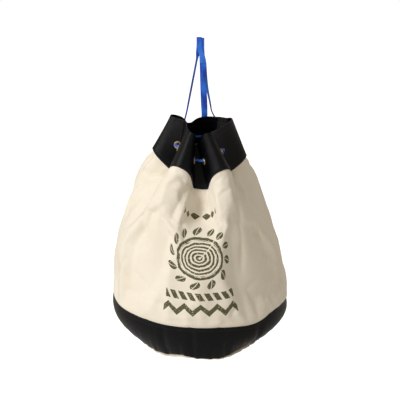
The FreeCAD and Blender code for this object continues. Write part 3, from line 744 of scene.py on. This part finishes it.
def tape(name, stations):
    """A length of tape. Each station is a place, the direction of the tape's width,
    half of its width and half of its thickness."""
    line = smooth_line([(*place, *width, *halves) for place, width, halves in stations])
    place = line[:, 0:3]
    heading = unit(np.gradient(place, axis=0))
    width = line[:, 3:6]
    width = unit(width - heading * (width * heading).sum(1, keepdims=True))
    face = np.cross(width, heading)
    length = np.concatenate([[0.0], np.cumsum(np.linalg.norm(np.diff(place, axis=0), axis=1))])
    print(name, "is", round(length[-1] * 1000), "mm long")
    mesh = bpy.data.meshes.new(name)
    working = bmesh.new()
    bmesh.ops.create_grid(working, x_segments=16, y_segments=len(line) - 1, size=0.5)
    lengths = working.loops.layers.uv.new("cloth")
    flat = np.array([vertex.co[:2] for vertex in working.verts]) + 0.5
    turn = flat[:, 0] * 2 * math.pi
    along = np.round(flat[:, 1] * (len(line) - 1)).astype(int)
    across = np.sign(np.cos(turn)) * np.abs(np.cos(turn)) ** 0.5
    proud = np.sign(np.sin(turn)) * np.abs(np.sin(turn)) ** 0.7
    folded = np.clip((TAPE_HALF - line[along, 6]) / (TAPE_HALF - BUNCHED[0]), 0, 1)
    proud = proud * (1 - 0.5 * folded * np.exp(-(across / 0.35) ** 2) * (proud > 0))
    for face_of_mesh in working.faces:
        for loop in face_of_mesh.loops:
            index = loop.vert.index
            loop[lengths].uv = (flat[index, 0] * TAPE_ROUND, length[along[index]])
    points = place[along] + width[along] * (line[along, 6] * across)[:, None]
    points = points + face[along] * (line[along, 7] * proud)[:, None]
    for vertex, point in zip(working.verts, points):
        vertex.co = point
    bmesh.ops.remove_doubles(working, verts=working.verts, dist=0.00001)
    bmesh.ops.holes_fill(working, edges=[edge for edge in working.edges if edge.is_boundary], sides=40)
    bmesh.ops.recalc_face_normals(working, faces=working.faces)
    working.to_mesh(mesh)
    working.free()
    mesh.shade_smooth()
    piece = bpy.data.objects.new(name, mesh)
    scene.collection.objects.link(piece)
    piece.data.materials.append(webbing)
    return piece


def on_strand(name, height, reach=1.0):
    """A station on a hanging strand. It turns nearly edge on between two shares of
    its drop, and the right strand bows out a little under the hook."""
    top, foot = (Vector(end) for end in STRANDS[name])
    share = (height - top.z) / (foot.z - top.z)
    turn = 0.0
    if name in EDGE_ON:
        first, last, most = EDGE_ON[name]
        turn = math.radians(most) * float(eased((share - first) / (last - first)))
    half = TAPE_HALF * reach
    place = top + (foot - top) * share
    if name == "right":
        place.x += BOW * math.exp(-((height - BOW_HEIGHT) / BOW_REACH) ** 2)
    return (*place,), (math.cos(turn), math.sin(turn), 0.0), (half, TAPE_THIN * TAPE_HALF / half)


def through_eyelet(turn, outside):
    """A station on the line of the tape through an eyelet, that far outside the band."""
    angle = np.array([math.radians(turn)])
    height = np.array([SEAM_HIGH + EYELET_RISE])
    place = cloth_surface(angle, height)[0] + cloth_outward(angle, height)[0] * (0.002 + outside)
    return (place[0], place[1], place[2] + TAPE_LIFT), (0.0, 0.0, 1.0), BUNCHED


def shifted(station, right, back, up, width=(0.0, 0.0, 1.0)):
    """A station, moved and with the tape's width turned."""
    place, _, halves = station
    return (place[0] + right, place[1] + back, place[2] + up), width, halves


def bight(name, left, right, across, radius):
    """The tape over the hook, from a little down one strand to a little down another."""
    corner = radius * math.tan(math.pi / 8)
    side = (1.0, 0.0, 0.0)
    flat_tape = (TAPE_HALF, TAPE_THIN)
    over = [((across, back, up), side, flat_tape)
            for back, up in ((radius, corner), (corner, radius), (-corner, radius), (-radius, corner))]
    down = [on_strand(left, height) for height in (SPLIT - 0.0005, -0.042, -0.034, -0.026, -0.0163)]
    rise = [on_strand(right, height) for height in (-0.0163, -0.026, -0.038, SPLIT - 0.0005)]
    return tape(name, [*down, *over, *rise])


webbing, cloth_place, shader = finish("blue_tape")
rib = (cloth_place.part("Y") * (2 * math.pi / 0.0011)).sine()
twill = ((cloth_place.part("Y") + cloth_place.part("X")) * (2 * math.pi / 0.0016)).sine()
SKY_BLUE = (0.032, 0.18, 0.76)
ROYAL_BLUE = (0.010, 0.062, 0.45)
deeper = cloth_place.noise(18.0, 2.0, 0.6).ramp_up(0.4, 0.6)
colour = deeper.mixed(SKY_BLUE, ROYAL_BLUE)
wire(shader, Base_Color=colour, Normal=(rib * 0.6 + twill * 0.4).relief(0.6, 0.0002), Roughness=0.5,
     Specular_IOR_Level=0.3)

front_bight = bight("front_tape_bight", "left", "right", -0.002, OVER_RADIUS)
rear_bight = bight("rear_tape_bight", "rear", "front", 0.004, HOOK_RADIUS)
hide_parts("tape_bight_front")
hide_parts("tape_bight_rear")
for piece in (front_bight, rear_bight):
    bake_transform(piece)

threaded = []
for hand in (-1, 1):
    half_way = [through_eyelet(126 * hand, reach) for reach in (0.018, -0.014)]
    half_way += [through_eyelet(90 * hand, reach) for reach in (-0.014, 0.012)]
    half_way += [through_eyelet(54 * hand, reach) for reach in (0.012, -0.010)]
    half_way += [through_eyelet(18 * hand, reach) for reach in (-0.010, 0.006)]
    threaded.append(half_way)
left_drop = [on_strand("left", height) for height in (SPLIT, -0.075, -0.100, -0.125)]
left_drop += [on_strand("left", -0.148, 0.8), on_strand("left", -0.168, 0.6)]
right_drop = [on_strand("right", height) for height in (SPLIT, -0.065, -0.080, -0.095, -0.110, -0.128)]
right_drop += [on_strand("right", -0.148, 0.8), ((0.0275, 0.008, -0.170), (0.0, 1.0, 0.0), (0.0036, 0.00125))]
front_tape = tape("front_tape", [*left_drop, *threaded[0], *threaded[1][::-1], *right_drop[::-1]])
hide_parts("strand_left", "strand_right", "tape_front_run", "tape_front_join")


def rear_side(hand, strand, leave):
    """Down a centre strand, then behind the rear lobe to its eyelet on that side."""
    drop = [on_strand(strand, height) for height in (SPLIT, -0.080, -0.110, -0.135)]
    drop += [on_strand(strand, -0.155, 0.95), on_strand(strand, -0.172, 0.8)]
    drop += [(leave, (1.0, 0.3, 0.0), (0.0042, 0.0011))]
    turn_in = through_eyelet(162 * hand, 0.022)
    corner = shifted(turn_in, 0.0025 * hand, 0.021, 0.008)
    down_back = shifted(corner, -0.022 * hand, -0.002, 0.012, (0.3, 1.0, 0.2))
    return [*drop, down_back, corner, turn_in, through_eyelet(162 * hand, -0.014)]


rear_tape = tape("rear_tape", [*rear_side(-1, "rear", (0.007, 0.0130, -0.188)),
                               *rear_side(1, "front", (0.0135, 0.0115, -0.188))[::-1]])
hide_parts("strand_centre_rear", "strand_centre_front", "tape_rear_run", "tape_join")
for piece in (front_tape, rear_tape):
    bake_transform(piece)

# ---------------------------------------------------------------- the studio
# A white room, with one wide lamp from the upper left and the sky filling in.
FLOOR_DROP = -1.6
FLOOR_GLOW = 0.75
SKY_LIGHT = (0.50, 0.465, 0.41)
WHITE = (1.0, 1.0, 1.0)


def seen_white(tree):
    """1 where the lens looks, and 0 for the light that falls on the bag."""
    rays = tree.nodes.new("ShaderNodeLightPath").outputs
    return Socket(tree, rays["Is Camera Ray"]).over(Socket(tree, rays["Is Transmission Ray"]))


floor_mesh = bpy.data.meshes.new("studio_floor")
working = bmesh.new()
bmesh.ops.create_grid(working, x_segments=1, y_segments=1, size=12.0)
bmesh.ops.translate(working, verts=working.verts, vec=(0.0, 0.0, FLOOR_DROP))
working.to_mesh(floor_mesh)
working.free()
floor = bpy.data.objects.new("studio_floor", floor_mesh)
scene.collection.objects.link(floor)
paper, place, shader = finish("studio_paper", "Object")
glow = seen_white(place.tree).mixed((0.0, 0.0, 0.0), WHITE)
wire(shader, Base_Color=(0.9, 0.9, 0.9, 1.0), Roughness=1.0, Specular_IOR_Level=0.0, Emission_Color=glow,
     Emission_Strength=FLOOR_GLOW)
floor.data.materials.append(paper)


light = bpy.data.lights.new("window", "AREA")
light.shape = "DISK"
light.size = 0.8
light.energy = 52.0
window = bpy.data.objects.new("window", light)
scene.collection.objects.link(window)
window.location = (-1.9, -1.7, 0.9)
window.rotation_euler = (window.location - AIM).to_track_quat("Z", "Y").to_euler()
world = bpy.data.worlds.new("room")
scene.world = world
world.use_nodes = True
sky = world.node_tree
background = sky.nodes["Background"]
background.inputs["Strength"].default_value = 1.0
sky.links.new(seen_white(sky).mixed(SKY_LIGHT, WHITE).link, background.inputs["Color"])
scene.view_settings.view_transform = "Standard"
